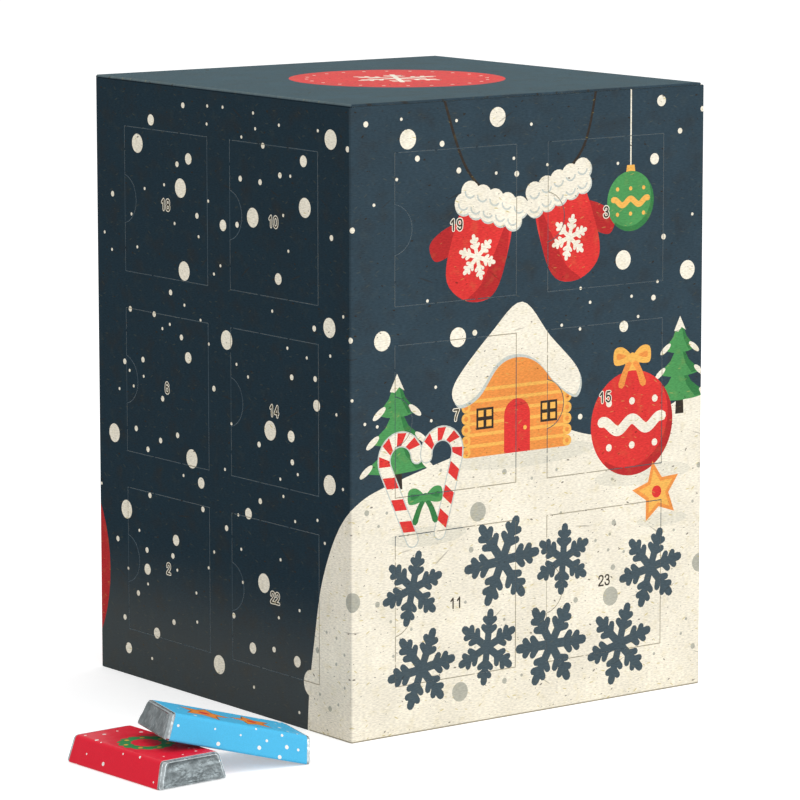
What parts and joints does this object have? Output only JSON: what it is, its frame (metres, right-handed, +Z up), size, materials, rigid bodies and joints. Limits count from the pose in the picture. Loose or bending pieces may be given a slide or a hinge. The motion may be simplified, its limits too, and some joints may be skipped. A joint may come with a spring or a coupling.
{
  "type": "chocolate advent calendar",
  "caption": "Square tower of printed card with numbered hinged doors on all four walls, a tuck lid, pocket trays and wrapped chocolate bars.",
  "frame": {"origin": "centre of the base panel's underside, on the surface that the box stands on", "axes": "+Z up; the front wall faces -Y; the left wall, along which the lid's crease runs, faces -X"},
  "size_m": [0.1898, 0.1323, 0.168],
  "materials": {
    "printed_board": "matte",
    "plain_board": "matte",
    "tray_pulp": "matte",
    "band_red": "satin",
    "band_blue": "satin",
    "band_green": "satin",
    "band_orange": "satin"
  },
  "bodies": {
    "carton": {"front_panel": "printed_board", "right_panel": "printed_board", "back_panel": "printed_board", "left_panel": "printed_board", "tray_front": "tray_pulp", "tray_right": "tray_pulp", "tray_back": "tray_pulp", "tray_left": "tray_pulp", "base_panel": "printed_board", "chocolate_bar_02": "band_orange", "chocolate_bar_03": "band_blue", "chocolate_bar_05": "band_green", "chocolate_bar_06": "band_orange", "chocolate_bar_07": "band_blue", "chocolate_bar_08": "band_red", "chocolate_bar_09": "band_green", "chocolate_bar_10": "band_orange", "chocolate_bar_11": "band_blue", "chocolate_bar_12": "band_red", "chocolate_bar_13": "band_green", "chocolate_bar_14": "band_orange", "chocolate_bar_15": "band_blue", "chocolate_bar_16": "band_red", "chocolate_bar_17": "band_green", "chocolate_bar_18": "band_orange", "chocolate_bar_19": "band_blue", "chocolate_bar_20": "band_red", "chocolate_bar_21": "band_green", "chocolate_bar_22": "band_orange", "chocolate_bar_23": "band_blue", "chocolate_bar_24": "band_red"},
    "door_19": {"door_19": "printed_board"},
    "door_03": {"door_03": "printed_board"},
    "door_07": {"door_07": "printed_board"},
    "door_15": {"door_15": "printed_board"},
    "door_11": {"door_11": "printed_board"},
    "door_23": {"door_23": "printed_board"},
    "door_08": {"door_08": "printed_board"},
    "door_24": {"door_24": "printed_board"},
    "door_13": {"door_13": "printed_board"},
    "door_01": {"door_01": "printed_board"},
    "door_20": {"door_20": "printed_board"},
    "door_05": {"door_05": "printed_board"},
    "door_16": {"door_16": "printed_board"},
    "door_09": {"door_09": "printed_board"},
    "door_04": {"door_04": "printed_board"},
    "door_21": {"door_21": "printed_board"},
    "door_12": {"door_12": "printed_board"},
    "door_17": {"door_17": "printed_board"},
    "door_18": {"door_18": "printed_board"},
    "door_10": {"door_10": "printed_board"},
    "door_06": {"door_06": "printed_board"},
    "door_14": {"door_14": "printed_board"},
    "door_02": {"door_02": "printed_board"},
    "door_22": {"door_22": "printed_board"},
    "loose_bar_low": {"chocolate_bar_01": "band_red"},
    "loose_bar_top": {"chocolate_bar_04": "band_blue"},
    "lid": {"lid": "printed_board"},
    "dust_flap_front": {"dust_flap_front": "plain_board"},
    "dust_flap_back": {"dust_flap_back": "plain_board"}
  },
  "joints": [
    {"name": "door_19_crease", "type": "hinge", "parent": "carton", "child": "door_19", "pos_m": [-0.0055, -0.06, 0.1346], "axis": [0, 0, 1], "range_deg": [0, 120]},
    {"name": "door_03_crease", "type": "hinge", "parent": "carton", "child": "door_03", "pos_m": [0.0455, -0.06, 0.1346], "axis": [0, 0, 1], "range_deg": [0, 120]},
    {"name": "door_07_crease", "type": "hinge", "parent": "carton", "child": "door_07", "pos_m": [-0.0055, -0.06, 0.084], "axis": [0, 0, 1], "range_deg": [0, 120]},
    {"name": "door_15_crease", "type": "hinge", "parent": "carton", "child": "door_15", "pos_m": [0.0455, -0.06, 0.084], "axis": [0, 0, 1], "range_deg": [0, 120]},
    {"name": "door_11_crease", "type": "hinge", "parent": "carton", "child": "door_11", "pos_m": [-0.0055, -0.06, 0.0334], "axis": [0, 0, 1], "range_deg": [0, 120]},
    {"name": "door_23_crease", "type": "hinge", "parent": "carton", "child": "door_23", "pos_m": [0.0455, -0.06, 0.0334], "axis": [0, 0, 1], "range_deg": [0, 120]},
    {"name": "door_08_crease", "type": "hinge", "parent": "carton", "child": "door_08", "pos_m": [0.06, -0.0055, 0.1346], "axis": [0, 0, 1], "range_deg": [0, 120]},
    {"name": "door_24_crease", "type": "hinge", "parent": "carton", "child": "door_24", "pos_m": [0.06, 0.0455, 0.1346], "axis": [0, 0, 1], "range_deg": [0, 120]},
    {"name": "door_13_crease", "type": "hinge", "parent": "carton", "child": "door_13", "pos_m": [0.06, -0.0055, 0.084], "axis": [0, 0, 1], "range_deg": [0, 120]},
    {"name": "door_01_crease", "type": "hinge", "parent": "carton", "child": "door_01", "pos_m": [0.06, 0.0455, 0.084], "axis": [0, 0, 1], "range_deg": [0, 120]},
    {"name": "door_20_crease", "type": "hinge", "parent": "carton", "child": "door_20", "pos_m": [0.06, -0.0055, 0.0334], "axis": [0, 0, 1], "range_deg": [0, 120]},
    {"name": "door_05_crease", "type": "hinge", "parent": "carton", "child": "door_05", "pos_m": [0.06, 0.0455, 0.0334], "axis": [0, 0, 1], "range_deg": [0, 120]},
    {"name": "door_16_crease", "type": "hinge", "parent": "carton", "child": "door_16", "pos_m": [0.0055, 0.06, 0.1346], "axis": [0, 0, 1], "range_deg": [0, 120]},
    {"name": "door_09_crease", "type": "hinge", "parent": "carton", "child": "door_09", "pos_m": [-0.0455, 0.06, 0.1346], "axis": [0, 0, 1], "range_deg": [0, 120]},
    {"name": "door_04_crease", "type": "hinge", "parent": "carton", "child": "door_04", "pos_m": [0.0055, 0.06, 0.084], "axis": [0, 0, 1], "range_deg": [0, 120]},
    {"name": "door_21_crease", "type": "hinge", "parent": "carton", "child": "door_21", "pos_m": [-0.0455, 0.06, 0.084], "axis": [0, 0, 1], "range_deg": [0, 120]},
    {"name": "door_12_crease", "type": "hinge", "parent": "carton", "child": "door_12", "pos_m": [0.0055, 0.06, 0.0334], "axis": [0, 0, 1], "range_deg": [0, 120]},
    {"name": "door_17_crease", "type": "hinge", "parent": "carton", "child": "door_17", "pos_m": [-0.0455, 0.06, 0.0334], "axis": [0, 0, 1], "range_deg": [0, 120]},
    {"name": "door_18_crease", "type": "hinge", "parent": "carton", "child": "door_18", "pos_m": [-0.06, 0.0055, 0.1346], "axis": [0, 0, 1], "range_deg": [0, 120]},
    {"name": "door_10_crease", "type": "hinge", "parent": "carton", "child": "door_10", "pos_m": [-0.06, -0.0455, 0.1346], "axis": [0, 0, 1], "range_deg": [0, 120]},
    {"name": "door_06_crease", "type": "hinge", "parent": "carton", "child": "door_06", "pos_m": [-0.06, 0.0055, 0.084], "axis": [0, 0, 1], "range_deg": [0, 120]},
    {"name": "door_14_crease", "type": "hinge", "parent": "carton", "child": "door_14", "pos_m": [-0.06, -0.0455, 0.084], "axis": [0, 0, 1], "range_deg": [0, 120]},
    {"name": "door_02_crease", "type": "hinge", "parent": "carton", "child": "door_02", "pos_m": [-0.06, 0.0055, 0.0334], "axis": [0, 0, 1], "range_deg": [0, 120]},
    {"name": "door_22_crease", "type": "hinge", "parent": "carton", "child": "door_22", "pos_m": [-0.06, -0.0455, 0.0334], "axis": [0, 0, 1], "range_deg": [0, 120]},
    {"name": "lid_crease", "type": "hinge", "parent": "carton", "child": "lid", "pos_m": [-0.06, 0, 0.168], "axis": [0, -1, 0], "range_deg": [0, 110]},
    {"name": "dust_flap_front_crease", "type": "hinge", "parent": "carton", "child": "dust_flap_front", "pos_m": [0, -0.0591, 0.1671], "axis": [-1, 0, 0], "range_deg": [0, 25]},
    {"name": "dust_flap_back_crease", "type": "hinge", "parent": "carton", "child": "dust_flap_back", "pos_m": [0, 0.0591, 0.1671], "axis": [1, 0, 0], "range_deg": [0, 25]},
    {"name": "loose_bar_low_lift", "type": "slide", "parent": "carton", "child": "loose_bar_low", "axis": [0, 0, 1], "range_m": [0, 0.06]},
    {"name": "loose_bar_top_lift", "type": "slide", "parent": "loose_bar_low", "child": "loose_bar_top", "axis": [-0.4511, -0.7018, 0.5514], "range_m": [0, 0.06]}
  ]
}
